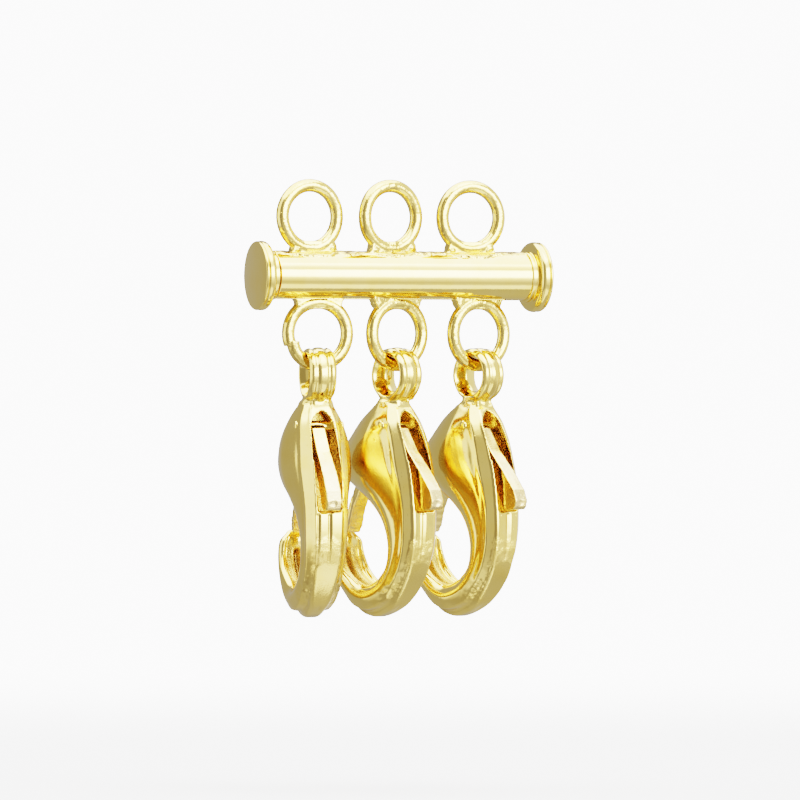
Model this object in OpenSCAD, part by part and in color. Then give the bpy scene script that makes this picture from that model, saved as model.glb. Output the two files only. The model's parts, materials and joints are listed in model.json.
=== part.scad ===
// Three strand layering clasp: a slide tube bar with a ring row above it and
// three trigger claws that hang from a second ring row below it.
// The origin is the centre of the middle upper ring, which the clasp hangs by.
// X runs along the tube, +Z is up and the claws open towards +Y.

/* [Tube] */
// Outside diameter of the tube
tube_d = 2.8; // [2.6:0.1:3.2]
// Length of the tube between its two end caps
tube_len = 16.4; // [16.2:0.1:18]
// Wall of the outer tube
tube_wall = 0.3; // [0.25:0.05:0.35]
// Radial running gap between the outer tube and the slider
run_gap = 0.05; // [0.03:0.01:0.08]
// Width of the slot under the outer tube
slot_w = 0.95; // [0.9:0.05:1.1]

/* [End caps] */
// Diameter of an end cap
cap_d = 4.1; // [3.8:0.1:4.4]
// Length of an end cap along the tube
cap_len = 1.05; // [0.95:0.05:1.2]
// Angle by which the left cap sits crooked
cap_tilt = 4; // [0:1:4]

/* [Rings] */
// Radius of a ring at the middle of its wire
ring_r = 1.846; // [1.8:0.01:1.9]
// Radius of the ring wire
wire_r = 0.36; // [0.3:0.01:0.4]
// Distance from one ring to the next
ring_pitch = 5.25; // [5.2:0.05:5.5]
// How far the upper row sits to the left of the bar's middle
upper_shift = 0.52; // [0:0.01:0.6]
// Height of the upper ring centres over the tube axis
upper_rise = 3.5; // [3.4:0.01:3.6]
// Depth of the lower ring centres under the tube axis
lower_drop = 3.4; // [3.35:0.01:3.5]

/* [Claws] */
// Outside radius of a claw's eye
eye_r = 1.61; // [1.6:0.01:1.65]
// Radius of the eye's hole at its narrowest
eye_hole_r = 0.98; // [0.96:0.01:1]
// Length of the eye along its hole
eye_len = 1.5; // [1.3:0.05:1.6]
// Gap between the eye and the wire that carries it
hang_gap = 0.035; // [0.02:0.005:0.05]
// Thickness of a lever plate
lever_t = 0.9; // [0.8:0.05:0.95]
// Gap on each side of a lever plate
lever_gap = 0.09; // [0.08:0.01:0.12]
// Radius of a lever pin
pin_r = 0.28; // [0.24:0.01:0.3]

/* [Hidden] */

gold = [0.93, 0.82, 0.48];
pale_gold = [0.96, 0.90, 0.66];
round_fn = 48;

tube_r = tube_d / 2;
bore_r = tube_r - tube_wall;
slider_r = bore_r - run_gap;
slider_wall = 0.35;
tube_end = tube_len / 2;
right_plug_len = 0.5;
left_cap_gap = 0.14;
plug_gap = 0.02;
slider_end_gap = 0.15;
slot_end_gap = 0.1;

// Columns of a row of rings: place along the tube from the row's middle, turn about Z
RING_X = 0;
RING_TURN = 1;
upper_rings = [[-ring_pitch, 6], [0, 10], [ring_pitch, 0]];
lower_rings = [[-ring_pitch, -4], [-0.1, 13], [ring_pitch, 11]];

// Turn of each claw about Z, from left to right
claw_turn = [-10, 13, 15];

// Solder feet between the rings and the tube: half width at the ring, half width at the
// tube, and height
FOOT_TOP = 0;
FOOT_BOTTOM = 1;
FOOT_LIFT = 2;
upper_foot = [1.2, 1.8, 0.6];
lower_foot = [1.3, 1.8, 0.45];
foot_t = 0.72;
foot_overlap = 0.12;

// Flange profile of a cap: distance from the outer face in parts of its length, radius in
// parts of its own radius
cap_profile = [
    [0, 0.95], [0.08, 0.99], [0.2, 1], [0.36, 1], [0.43, 0.96], [0.49, 0.92],
    [0.56, 0.97], [0.72, 0.97], [0.86, 0.9], [0.96, 0.79], [1, 0.72]
];

// Claw profile: u is towards the opening, w is downwards from the top of the eye.
// Columns: outer edge u and w, inner edge u and w, half thickness at the outer face, at
// the belly and at the inner edge, then the valley in the side as its place from outer
// face to inner edge and its depth
CU = 0;
CW = 1;
IU = 2;
IW = 3;
FACE = 4;
BELLY = 5;
EDGE = 6;
VALLEY = 7;
DIP = 8;
claw_rows = [
    [-0.55, 2.90, 0.95, 2.90, 0.62, 0.82, 0.62, 0.50, 0.00],
    [-0.60, 3.30, 1.35, 3.30, 0.74, 1.00, 0.65, 0.45, 0.00],
    [-0.88, 3.80, 1.95, 3.75, 0.85, 1.28, 0.70, 0.35, 0.00],
    [-1.25, 4.40, 2.60, 4.30, 1.00, 1.62, 0.82, 0.33, 0.10],
    [-1.62, 5.15, 3.25, 5.05, 1.10, 1.90, 0.95, 0.31, 0.26],
    [-1.92, 5.85, 3.85, 5.75, 1.18, 2.04, 1.03, 0.30, 0.38],
    [-2.22, 6.80, 4.25, 6.60, 1.20, 2.12, 1.08, 0.29, 0.45],
    [-2.42, 7.60, 4.15, 7.30, 1.18, 2.08, 1.08, 0.29, 0.47],
    [-2.56, 8.50, 3.60, 7.85, 1.12, 1.95, 1.02, 0.31, 0.45],
    [-2.64, 9.30, 2.55, 8.45, 1.05, 1.72, 0.97, 0.35, 0.40],
    [-2.68, 10.0, 1.45, 9.20, 0.96, 1.54, 0.92, 0.42, 0.36],
    [-2.67, 10.7, 0.70, 9.95, 0.88, 1.42, 0.87, 0.50, 0.34],
    [-2.62, 11.4, 0.25, 10.8, 0.86, 1.35, 0.83, 0.55, 0.32],
    [-2.50, 12.1, 0.05, 11.7, 0.84, 1.32, 0.80, 0.56, 0.30],
    [-2.22, 12.9, 0.12, 12.55, 0.83, 1.32, 0.80, 0.56, 0.28],
    [-1.80, 13.75, 0.42, 13.12, 0.82, 1.32, 0.80, 0.56, 0.26],
    [-1.02, 14.72, 0.95, 13.62, 0.81, 1.33, 0.80, 0.56, 0.20],
    [0.00, 15.48, 1.55, 13.90, 0.82, 1.35, 0.80, 0.55, 0.13],
    [1.50, 15.95, 2.10, 13.97, 0.85, 1.38, 0.80, 0.55, 0.05],
    [2.80, 15.75, 2.75, 13.75, 0.85, 1.40, 0.80, 0.50, 0.00],
    [3.80, 15.05, 3.40, 13.35, 0.85, 1.40, 0.85, 0.50, 0.00],
    [4.70, 14.15, 3.90, 12.9, 0.85, 1.42, 0.90, 0.50, 0.00],
    [5.35, 13.15, 4.20, 12.4, 0.82, 1.42, 0.90, 0.50, 0.00],
    [5.68, 12.2, 4.35, 11.9, 0.78, 1.38, 0.85, 0.50, 0.00],
    [5.72, 11.5, 4.38, 11.4, 0.70, 1.20, 0.75, 0.50, 0.00],
    [5.40, 11.0, 4.60, 11.05, 0.45, 0.75, 0.45, 0.50, 0.00]
];

// Depths at which half a claw section has its corners, from outer face to inner edge,
// and the width of the valley in the same parts
claw_depths = [0, 0.07, 0.18, 0.3, 0.42, 0.56, 0.74, 0.9, 1];
valley_width = 0.14;

// Pivot of the lever in the claw profile
pivot_u = -0.2;
pivot_w = 4.65;

// Half length of a pin, and its radial gaps in the claw and in the lever
pin_half = 1.4;
pin_bore_gap = 0.015;
lever_bore_gap = 0.05;

// The lever's gate and its thumb plate as outlines in the claw profile
gate_outline = [
    [-0.2, 4.02], [0.18, 4.13], [0.42, 4.45], [1.35, 5.4], [2.35, 6.5], [3.07, 7.5],
    [3.48, 8.2], [3.95, 9.3], [4.22, 10.3], [4.28, 11.05], [4.2, 11.3], [3.9, 11.3],
    [3.72, 10.7], [3.38, 9.5], [2.78, 8.4], [1.75, 7.3], [0.6, 6.3], [-0.6, 5.9],
    [-0.82, 4.7], [-0.75, 4.35], [-0.55, 4.12]
];
thumb_outline = [
    [-0.4, 5.0], [0.2, 5.6], [-0.1, 6.1], [-0.9, 7.0], [-1.8, 8.5], [-2.3, 9.5],
    [-2.6, 9.65], [-3.4, 9.65], [-3.68, 9.5], [-3.75, 9.2], [-3.55, 8.7], [-2.7, 7.5],
    [-1.6, 6.0], [-0.83, 4.8]
];

// The thumb plate gets wider towards its tip: half width and w
thumb_half = [[0.4, 4.2], [0.63, 9.8]];

// Room for the lever between the cheeks of the head
cavity_outline = [
    [-4, 3.82], [-0.2, 3.82], [0.3, 3.95], [0.6, 4.3], [1.47, 5.3], [2.47, 6.4],
    [3.19, 7.4], [3.6, 8.2], [4.1, 9.4], [2.0, 10.6], [0.8, 10.1], [0.86, 9.5],
    [0.56, 8.5], [-0.5, 8.5], [-1.75, 9.0], [-2.25, 9.72], [-4, 9.72]
];

// Window in the spine as half width and w
window_half = [
    [0, 3.72], [0.3, 3.92], [0.6, 4.28], [0.72, 4.6], [0.77, 5.6], [0.79, 7], [0.79, 9.72]
];
window_floor = -0.6;

// Eye band: depth of the grooves on its rim, and how its hole flares to each side
eye_flare = 0.35;
eye_flare_power = 1.1;
eye_ridge = 0.1;
eye_steps = 12;

// Heights in the claw's own frame, whose origin is the middle of the wire it hangs on,
// and the depth of that wire under the tube axis
eye_z = wire_r + hang_gap - eye_hole_r;
eye_top = eye_z + eye_r;
wire_drop = lower_drop + ring_r;

// Puts what is drawn round the tube axis, with the bar's middle at 0, into the clasp's frame
module on_bar() {
    translate([upper_shift, 0, -upper_rise]) children();
}

// Wire ring that stands in the XZ plane, turned about Z
module wire_ring(turn) {
    rotate([90, 0, turn]) rotate_extrude($fn = round_fn) translate([ring_r, 0])
        circle(r = wire_r, $fn = 24);
}

// Solder foot with hollow flanks that stands on height 0
module solder_foot(foot, turn, overlap) {
    steps = 5;
    spread = foot[FOOT_BOTTOM] - foot[FOOT_TOP];
    flank = [
        for (i = [0:steps])
            let (a = 90 * i / steps)
                [foot[FOOT_BOTTOM] - spread * sin(a), foot[FOOT_LIFT] * (1 - cos(a))]
    ];
    mirrored = [for (i = [steps:-1:0]) [-flank[i][0], flank[i][1]]];
    base = [[-foot[FOOT_BOTTOM], -overlap], [foot[FOOT_BOTTOM], -overlap]];
    rotate([90, 0, turn]) linear_extrude(height = foot_t, center = true)
        polygon(concat(base, flank, mirrored));
}

// Round solid about the X axis from a profile of [x, radius] points
module turned(profile) {
    points = concat([[0, profile[0][0]]],
        [for (p = profile) [p[1], p[0]]],
        [[0, profile[len(profile) - 1][0]]]);
    rotate([0, 90, 0]) rotate_extrude($fn = 64) polygon(points);
}

// Cap flange with its outer face at x = 0 and its neck at x = length
module cap_flange(length) {
    turned([for (p = cap_profile) [p[0] * length, p[1] * cap_d / 2]]);
}

module outer_tube() {
    slot_end = ring_pitch + lower_foot[FOOT_BOTTOM] + slot_end_gap;
    color(gold) on_bar() {
        difference() {
            rotate([0, 90, 0]) cylinder(r = tube_r, h = tube_len, center = true, $fn = 64);
            rotate([0, 90, 0]) cylinder(r = bore_r, h = tube_len + 1, center = true, $fn = 64);
            translate([-tube_end - 1, -slot_w / 2, -tube_d])
                cube([tube_end + 1 + slot_end, slot_w, tube_d]);
        }
        for (ring = upper_rings) translate([ring[RING_X] - upper_shift, 0, 0]) {
            translate([0, 0, upper_rise]) wire_ring(ring[RING_TURN]);
            translate([0, 0, tube_r]) solder_foot(upper_foot, ring[RING_TURN], foot_overlap);
        }
    }
}

module right_cap() {
    color(gold) on_bar() {
        translate([tube_end + cap_len, 0, 0]) mirror([1, 0, 0]) cap_flange(cap_len);
        translate([tube_end - right_plug_len, 0, 0]) rotate([0, 90, 0])
            cylinder(r = bore_r - plug_gap, h = right_plug_len + 0.1, $fn = 48);
    }
}

module slider() {
    left_end = -tube_end - 0.04;
    right_end = tube_end - right_plug_len - slider_end_gap;
    color(gold) on_bar() {
        translate([left_end, 0, 0]) rotate([0, 90, 0]) difference() {
            cylinder(r = slider_r, h = right_end - left_end, $fn = 64);
            translate([0, 0, -1])
                cylinder(r = slider_r - slider_wall, h = right_end - left_end + 2, $fn = 48);
        }
        for (ring = lower_rings) translate([ring[RING_X], 0, 0]) {
            translate([0, 0, -lower_drop]) wire_ring(ring[RING_TURN]);
            translate([0, 0, -tube_r - run_gap]) mirror([0, 0, 1])
                solder_foot(lower_foot, 0, tube_r + run_gap - slider_r + slider_wall / 2);
        }
    }
}

module left_cap() {
    flange_len = cap_len - left_cap_gap;
    color(gold) on_bar() {
        translate([-tube_end - left_cap_gap - flange_len, 0, 0]) rotate([0, 0, -cap_tilt])
            cap_flange(flange_len);
        translate([-tube_end - left_cap_gap - flange_len / 2, 0, 0]) rotate([0, 90, 0])
            cylinder(r = slider_r - slider_wall - plug_gap, h = 1.2, $fn = 48);
    }
}

// Point of a smooth curve through rows b and c, at part t of the way
function blend_row(a, b, c, d, t) =
    b + t * (c - a) / 2
    + t * t * (a - 2.5 * b + 2 * c - 0.5 * d)
    + t * t * t * (-0.5 * a + 1.5 * b - 1.5 * c + 0.5 * d);

function row_at(rows, i) = rows[max(0, min(len(rows) - 1, i))];

// Rows with a smooth one added halfway between each pair
function finer(rows) = concat(
    [for (i = [0:len(rows) - 2]) each [
        rows[i],
        blend_row(row_at(rows, i - 1), rows[i], rows[i + 1], row_at(rows, i + 2), 0.5)
    ]],
    [rows[len(rows) - 1]]);

// Half thickness of a claw section at a depth from its outer face
function half_thickness(row, d) =
    let (
        end = d < 0.5 ? row[FACE] : row[EDGE],
        round_side = end + (row[BELLY] - end) * sin(180 * d)
    )
        round_side - row[DIP] * exp(-pow((d - row[VALLEY]) / valley_width, 2));

// One closed section of the claw in its own frame: X is across, Y is u
function claw_section(row) =
    let (
        half = [
            for (d = claw_depths)
                let (
                    u = row[CU] + d * (row[IU] - row[CU]),
                    w = row[CW] + d * (row[IW] - row[CW])
                )
                    [half_thickness(row, d), u, eye_top - w]
        ],
        last = len(half) - 1
    )
        concat(half, [for (i = [last:-1:0]) [-half[i][0], half[i][1], half[i][2]]]);

module loft(sections) {
    n = len(sections[0]);
    m = len(sections);
    sides = [
        for (i = [0:m - 2], j = [0:n - 1])
            let (k = (j + 1) % n)
                each [
                    [i * n + j, i * n + k, (i + 1) * n + j],
                    [i * n + k, (i + 1) * n + k, (i + 1) * n + j]
                ]
    ];
    first = [for (j = [n - 1:-1:0]) j];
    final = [for (j = [0:n - 1]) (m - 1) * n + j];
    polyhedron(points = [for (s = sections) each s], faces = concat([first], sides, [final]));
}

// Flat outline of the claw profile, drawn from x = -t / 2 to t / 2
module profile_plate(outline, t) {
    rotate([90, 0, 90]) linear_extrude(height = t, center = true)
        polygon([for (p = outline) [p[0], eye_top - p[1]]]);
}

module eye() {
    half = eye_len / 2;
    inner = [
        for (i = [-eye_steps / 2:eye_steps / 2])
            let (x = half * i / (eye_steps / 2))
                [eye_hole_r + eye_flare * pow(abs(x) / half, eye_flare_power), x]
    ];
    rim = [
        [eye_r - 0.12, half], [eye_r - 0.04, half - 0.1], [eye_r - eye_ridge, half * 0.42],
        [eye_r, half * 0.2], [eye_r, -half * 0.2], [eye_r - eye_ridge, -half * 0.42],
        [eye_r - 0.04, 0.1 - half], [eye_r - 0.12, -half]
    ];
    translate([0, 0, eye_z]) rotate([0, 90, 0]) rotate_extrude($fn = 48)
        polygon(concat(inner, rim));
}

module window_cut() {
    other = [for (i = [len(window_half) - 1:-1:1]) [-window_half[i][0], window_half[i][1]]];
    outline = concat(window_half, other);
    translate([0, window_floor, 0]) rotate([90, 0, 0]) linear_extrude(height = 4)
        polygon([for (p = outline) [p[0], eye_top - p[1]]]);
}

module at_pivot() {
    translate([0, pivot_u, eye_top - pivot_w]) rotate([0, 90, 0]) children();
}

// Puts a claw piece at ring i, in the clasp's frame
module on_ring(i) {
    on_bar() translate([lower_rings[i][RING_X], 0, -wire_drop])
        rotate([0, 0, claw_turn[i]]) children();
}

module claw(i) {
    color(gold) on_ring(i) difference() {
        union() {
            eye();
            loft([for (row = finer(claw_rows)) claw_section(row)]);
        }
        profile_plate(cavity_outline, lever_t + 2 * lever_gap);
        window_cut();
        at_pivot() cylinder(r = pin_r + pin_bore_gap, h = 6, center = true, $fn = 32);
    }
}

module lever(i) {
    plate = concat(
        [for (p = thumb_half) [p[0], eye_top - p[1]]],
        [for (p = [thumb_half[1], thumb_half[0]]) [-p[0], eye_top - p[1]]]);
    color(pale_gold) on_ring(i) difference() {
        union() {
            profile_plate(gate_outline, lever_t);
            intersection() {
                profile_plate(thumb_outline, 2);
                rotate([90, 0, 0]) linear_extrude(height = 9, center = true) polygon(plate);
            }
        }
        at_pivot() cylinder(r = pin_r + lever_bore_gap, h = 3, center = true, $fn = 32);
    }
}

module pin(i) {
    color(gold) on_ring(i) at_pivot()
        cylinder(r = pin_r, h = 2 * pin_half, center = true, $fn = 32);
}

module claw_left() { claw(0); }
module claw_middle() { claw(1); }
module claw_right() { claw(2); }
module lever_left() { lever(0); }
module lever_middle() { lever(1); }
module lever_right() { lever(2); }
module pin_left() { pin(0); }
module pin_middle() { pin(1); }
module pin_right() { pin(2); }

outer_tube();
right_cap();
slider();
left_cap();
claw_left();
claw_middle();
claw_right();
lever_left();
lever_middle();
lever_right();
pin_left();
pin_middle();
pin_right();
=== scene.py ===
"""Looks of a three strand layering clasp: a slide tube bar with ring rows and three trigger claws.

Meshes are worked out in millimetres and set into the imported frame, which is in metres.
"""
import json
import logging
import math
from dataclasses import dataclass, field
from enum import Enum, IntEnum
from typing import ClassVar, Sequence

import bpy
import numpy as np
from mathutils import Matrix, Vector


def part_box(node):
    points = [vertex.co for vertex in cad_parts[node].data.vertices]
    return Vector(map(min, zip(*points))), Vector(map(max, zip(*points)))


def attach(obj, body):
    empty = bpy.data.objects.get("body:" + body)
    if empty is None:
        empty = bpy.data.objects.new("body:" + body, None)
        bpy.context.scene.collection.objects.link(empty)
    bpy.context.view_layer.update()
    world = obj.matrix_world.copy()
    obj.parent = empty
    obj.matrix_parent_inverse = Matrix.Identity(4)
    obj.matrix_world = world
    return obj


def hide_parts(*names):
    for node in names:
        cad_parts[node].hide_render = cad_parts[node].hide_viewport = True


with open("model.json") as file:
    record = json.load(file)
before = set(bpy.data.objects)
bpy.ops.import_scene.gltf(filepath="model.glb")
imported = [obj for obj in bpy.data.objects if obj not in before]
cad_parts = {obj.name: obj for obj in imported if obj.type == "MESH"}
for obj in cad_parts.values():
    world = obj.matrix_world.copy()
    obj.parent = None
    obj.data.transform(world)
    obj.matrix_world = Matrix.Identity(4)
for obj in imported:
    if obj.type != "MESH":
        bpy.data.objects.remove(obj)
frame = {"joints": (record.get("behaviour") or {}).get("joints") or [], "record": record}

log = logging.getLogger("clasp")

MM = 0.001
SIDES = ("left", "middle", "right")
Points = np.ndarray
Face = tuple[int, ...]
Pair = tuple[float, float]
Triple = tuple[float, float, float]
Outline = tuple[Pair, ...]


class Slot(Enum):
    """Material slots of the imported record."""

    POLISHED = "polished_gold"
    CAST = "cast_gold"
    PALE = "pale_gold"


class Noise:
    """Smooth noise between -1 and 1 on a seeded lattice."""

    CELLS = 32

    def __init__(self, seed: int) -> None:
        """Fills the lattice from a seed."""
        rng = np.random.default_rng(seed)
        self.lattice = rng.uniform(-1, 1, (self.CELLS,) * 3)

    def at(self, points: Points, scale: float | Sequence[float]) -> np.ndarray:
        """Noise at each point.

        Args:
            points: Points as an array of n by 3.
            scale: Lattice cells for each unit, one number or one for each axis.

        Returns:
            One value for each point.
        """
        p = points * np.asarray(scale, float)
        cell = np.floor(p).astype(int)
        f = p - cell
        f = f * f * (3 - 2 * f)
        total = np.zeros(len(points))
        for corner in np.ndindex(2, 2, 2):
            i, j, k = ((cell + corner) % self.CELLS).T
            weight = np.prod(np.where(corner, f, 1 - f), axis=1)
            total += weight * self.lattice[i, j, k]
        return total


def ease(t: np.ndarray | float) -> np.ndarray | float:
    """Smooth step from 0 to 1 as t goes from 0 to 1."""
    t = np.clip(t, 0, 1)
    return t * t * (3 - 2 * t)


def rise(value: np.ndarray, start: float | np.ndarray, width: float) -> np.ndarray:
    """Smooth step from 0 at start to 1 a width further on. A negative width runs the other way."""
    return ease((value - start) / width)


def hump(value: np.ndarray, centre: float, half: float, power: int = 2) -> np.ndarray:
    """Smooth hump of height 1 at the centre, flatter on top for a higher even power."""
    return np.exp(-(((value - centre) / half) ** power))


def smooth_rows(table: np.ndarray, count: int) -> np.ndarray:
    """Catmull-Rom curve through the rows of a table.

    Args:
        table: Rows of numbers.
        count: Number of rows wanted.

    Returns:
        The rows along the curve, the given first and last rows among them.
    """
    last = len(table) - 1
    t = np.linspace(0, last, count)
    i = np.minimum(t.astype(int), last - 1)
    f = (t - i)[:, None]
    a, b, c, d = (table[np.clip(i + k, 0, last)] for k in (-1, 0, 1, 2))
    return b + f * (c - a) / 2 + f**2 * (a - 2.5 * b + 2 * c - d / 2) + f**3 * (-a + 3 * b - 3 * c + d) / 2


def placing(centre: Sequence[float], turn: float) -> Matrix:
    """Matrix that turns by degrees about Z and then moves to a centre."""
    return Matrix.Translation(centre) @ Matrix.Rotation(math.radians(turn), 4, "Z")


@dataclass
class Surface:
    """Points and faces of a mesh, in millimetres."""

    points: Points
    faces: list[Face]
    marks: dict[str, np.ndarray] = field(default_factory=dict)

    @classmethod
    def grid(cls, rings: Points, loop: bool = False) -> "Surface":
        """Skin over closed rings of points.

        Args:
            rings: Array of ring by point by 3. Each ring is closed.
            loop: True joins the last ring to the first, False closes both ends with a face.

        Returns:
            The closed surface.
        """
        m, n = rings.shape[:2]
        faces: list[Face] = []
        for i in range(m if loop else m - 1):
            a, b = i * n, (i + 1) % m * n
            faces += [(a + j, a + (j + 1) % n, b + (j + 1) % n, b + j) for j in range(n)]
        if not loop:
            faces.append(tuple(range(n - 1, -1, -1)))
            faces.append(tuple((m - 1) * n + j for j in range(n)))
        return cls(rings.reshape(-1, 3).astype(float), faces)

    @classmethod
    def lathe(cls, profile: Points, segments: int = 96) -> "Surface":
        """Closed profile turned about the X axis.

        Args:
            profile: Rows of x and radius.
            segments: Faces round the axis.

        Returns:
            The closed surface.
        """
        angle = np.arange(segments) * 2 * math.pi / segments
        x = np.broadcast_to(profile[:, 0], (segments, len(profile)))
        ring = [x, np.outer(np.cos(angle), profile[:, 1]), np.outer(np.sin(angle), profile[:, 1])]
        return cls.grid(np.stack(ring, axis=2), loop=True)

    @classmethod
    def plate(cls, outline: Points, half: float, axis: int = 0) -> "Surface":
        """Flat outline drawn from -half to half along an axis; its columns are the other two."""
        ends = [np.insert(outline, axis, side * half, axis=1) for side in (-1, 1)]
        return cls.grid(np.stack(ends))

    @classmethod
    def tube(cls, path: Points, radius: float | np.ndarray, across: Vector, sides: int = 32) -> "Surface":
        """Round wire along an open path.

        Args:
            path: Points along its middle.
            radius: Radius of the wire, one number or one for each point.
            across: Direction square to the plane that the path bends in.
            sides: Faces round the wire.

        Returns:
            The closed surface.
        """
        along = np.gradient(path, axis=0)
        along /= np.linalg.norm(along, axis=1)[:, None]
        a = np.broadcast_to(np.array(across, float), path.shape)
        b = np.cross(along, a)
        angle = np.arange(sides) * 2 * math.pi / sides
        r = np.broadcast_to(radius, len(path))[:, None, None]
        ring = a[:, None] * np.cos(angle)[None, :, None] + b[:, None] * np.sin(angle)[None, :, None]
        return cls.grid(path[:, None] + r * ring)

    @classmethod
    def blob(cls, centre: Sequence[float], radii: Sequence[float]) -> "Surface":
        """Ellipsoid lump of metal.

        Args:
            centre: Its centre.
            radii: Its radius along each axis.

        Returns:
            The closed surface.
        """
        t = np.linspace(0, math.pi, 14)
        profile = np.stack([-np.cos(t), np.maximum(np.sin(t), 1e-3)], axis=1)
        ball = cls.lathe(profile, 20)
        ball.points = ball.points * np.asarray(radii) + np.asarray(centre)
        return ball

    def __add__(self, other: "Surface") -> "Surface":
        """Both surfaces as one mesh."""
        faces = self.faces + [tuple(v + len(self.points) for v in f) for f in other.faces]
        return Surface(np.concatenate([self.points, other.points]), faces)

    def moved(self, matrix: Matrix) -> "Surface":
        """Copy moved by a matrix."""
        m = np.array(matrix)
        return Surface(self.points @ m[:3, :3].T + m[:3, 3], self.faces, self.marks)

    def raised(self, amount: np.ndarray) -> "Surface":
        """Copy whose points are moved out along their normals.

        Args:
            amount: How far each point is moved.

        Returns:
            The copy, with the same marks.
        """
        mesh = self.mesh("raised")
        normals = np.zeros(len(mesh.vertices) * 3)
        mesh.vertices.foreach_get("normal", normals)
        bpy.data.meshes.remove(mesh)
        return Surface(self.points + normals.reshape(-1, 3) * amount[:, None], self.faces, self.marks)

    def mesh(self, name: str) -> bpy.types.Mesh:
        """Makes a Blender mesh.

        Args:
            name: Name of the mesh.

        Returns:
            The mesh, still in millimetres.
        """
        mesh = bpy.data.meshes.new(name)
        mesh.from_pydata(self.points.tolist(), [], self.faces)
        mesh.update()
        return mesh

    def changed(self, *modifiers: tuple[str, dict]) -> "Surface":
        """Applies Blender modifiers.

        Args:
            modifiers: Type and settings of each.

        Returns:
            What they make of this surface.
        """
        obj = bpy.data.objects.new("work", self.mesh("work"))
        bpy.context.scene.collection.objects.link(obj)
        for kind, settings in modifiers:
            modifier = obj.modifiers.new(kind, kind)
            for key, value in settings.items():
                setattr(modifier, key, value)
        graph = bpy.context.evaluated_depsgraph_get()
        made = bpy.data.meshes.new_from_object(obj.evaluated_get(graph))
        points = np.zeros(len(made.vertices) * 3)
        made.vertices.foreach_get("co", points)
        result = Surface(points.reshape(-1, 3), [tuple(p.vertices) for p in made.polygons])
        bpy.data.meshes.remove(made)
        bpy.data.meshes.remove(obj.data)
        return result

    def cut(self, *cutters: "Surface") -> "Surface":
        """Takes other surfaces away.

        Args:
            cutters: What is taken away.

        Returns:
            What is left.
        """
        result = self
        for cutter in cutters:
            tool = bpy.data.objects.new("cutter", cutter.mesh("cutter"))
            bpy.context.scene.collection.objects.link(tool)
            settings = {"operation": "DIFFERENCE", "solver": "EXACT", "object": tool}
            result = result.changed(("BOOLEAN", settings))
            bpy.data.meshes.remove(tool.data)
        return result

    def fused(self, voxel: float, rounds: int = 4) -> "Surface":
        """One skin over all overlapping parts, of faces a voxel wide, softened by rounds of smoothing."""
        skin = self.changed(("REMESH", {"mode": "VOXEL", "voxel_size": voxel}))
        return skin.relaxed(rounds)

    def relaxed(self, rounds: int) -> "Surface":
        """Smooths without shrinking, by steps towards and away from the neighbours' mean.

        Args:
            rounds: Pairs of steps.

        Returns:
            The smoothed copy.
        """
        quads = np.array([f for f in self.faces if len(f) == 4])
        a = quads.reshape(-1)
        b = np.roll(quads, -1, axis=1).reshape(-1)
        count = np.bincount(a, minlength=len(self.points)) + np.bincount(b, minlength=len(self.points))
        points = self.points.copy()
        for step in (0.5, -0.52) * rounds:
            mean = np.stack([
                np.bincount(a, points[b, k], len(points)) + np.bincount(b, points[a, k], len(points))
                for k in range(3)
            ], axis=1) / np.maximum(count, 1)[:, None]
            points += step * (mean - points)
        return Surface(points, self.faces)

    def piece(self, name: str, sharp: float | None = None) -> bpy.types.Object:
        """Object in the scene, in metres, smooth shaded.

        Args:
            name: Name of the piece.
            sharp: Edge angle in degrees above which the shading breaks, or None for none.

        Returns:
            The new object.
        """
        mesh = self.mesh(name)
        mesh.transform(Matrix.Scale(MM, 4))
        mesh.shade_smooth()
        for mark, values in self.marks.items():
            mesh.attributes.new(mark, "FLOAT", "POINT").data.foreach_set("value", values.astype(np.float32))
        if sharp is not None:
            mesh.set_sharp_from_angle(angle=math.radians(sharp))
        obj = bpy.data.objects.new(name, mesh)
        bpy.context.scene.collection.objects.link(obj)
        return obj


class Val:
    """Socket or number in a shader, on which sums are written as Python expressions."""

    def __init__(self, shader: "Shader", node: bpy.types.Node, output: int | str) -> None:
        """Holds an output of a node.

        Args:
            shader: The shader that the node is in.
            node: The node.
            output: Name or number of its output.
        """
        self.shader = shader
        self.node = node
        self.output = output

    @property
    def socket(self) -> bpy.types.NodeSocket:
        """The output socket."""
        return self.node.outputs[self.output]

    def _math(self, operation: str, *values: "Val | float") -> "Val":
        """Math node on these values."""
        return self.shader.node("ShaderNodeMath", {"operation": operation}, dict(enumerate(values)))

    def __add__(self, other: "Val | float") -> "Val":
        """Sum."""
        return self._math("ADD", self, other)

    def __sub__(self, other: "Val | float") -> "Val":
        """Difference."""
        return self._math("SUBTRACT", self, other)

    def __rsub__(self, other: float) -> "Val":
        """Difference with the number first."""
        return self._math("SUBTRACT", other, self)

    def __mul__(self, other: "Val | float") -> "Val":
        """Product."""
        return self._math("MULTIPLY", self, other)

    def step(self, low: float, high: float, start: float = 0.0, end: float = 1.0) -> "Val":
        """Smooth step from start at low to end at high."""
        settings = {"interpolation_type": "SMOOTHSTEP"}
        return self.shader.node("ShaderNodeMapRange", settings, {0: self, 1: low, 2: high, 3: start, 4: end})


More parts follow.
